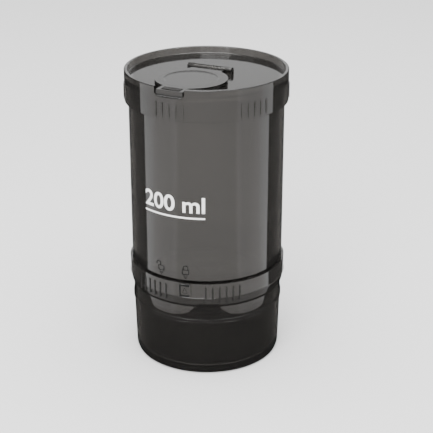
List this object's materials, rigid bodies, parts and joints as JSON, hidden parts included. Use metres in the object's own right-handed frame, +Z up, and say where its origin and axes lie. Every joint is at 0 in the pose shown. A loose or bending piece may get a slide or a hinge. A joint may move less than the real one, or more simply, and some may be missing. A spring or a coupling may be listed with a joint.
{
  "type": "cricket dusting shaker",
  "caption": "Upright smoked-plastic shaker for coating feeder insects with powder: powder cup, twist-lock collar, sieve, tube and lid with a hinged dosing flap.",
  "frame": {"origin": "centre of the foot, on the surface that the shaker stands on", "axes": "+Z up along the tube's axis, -Y towards the front, where the lift tab and the lock marks are"},
  "size_m": [0.0828, 0.0836, 0.154],
  "materials": {
    "smoke_plastic": "glossy smoked grey, moulded, slightly see-through",
    "sieve_plastic": "satin dark grey, moulded",
    "mesh_steel": "satin stainless",
    "pin_steel": "drawn stainless wire",
    "seal_rubber": "matt black silicone"
  },
  "bodies": {
    "vessel": {"powder_cup": "smoke_plastic", "cup_seal": "seal_rubber", "sieve_frame": "sieve_plastic", "sieve_mesh": "mesh_steel", "sieve_ring": "sieve_plastic", "chamber": "smoke_plastic"},
    "collar": {"locking_collar": "smoke_plastic"},
    "lid": {"lid": "smoke_plastic", "lid_seal": "seal_rubber", "hinge_pin": "pin_steel"},
    "flap": {"dosing_flap": "smoke_plastic", "flap_seal": "seal_rubber"}
  },
  "joints": [
    {"name": "collar_twist", "type": "hinge", "parent": "vessel", "child": "collar", "pos_m": [0, 0, 0.046], "axis": [0, 0, -1], "range_deg": [0, 20]},
    {"name": "lid_lift", "type": "slide", "parent": "vessel", "child": "lid", "axis": [0, 0, 1], "range_m": [0, 0.03]},
    {"name": "flap_hinge", "type": "hinge", "parent": "lid", "child": "flap", "pos_m": [0, 0.0045, 0.1523], "axis": [-1, 0, 0], "range_deg": [0, 125]}
  ]
}
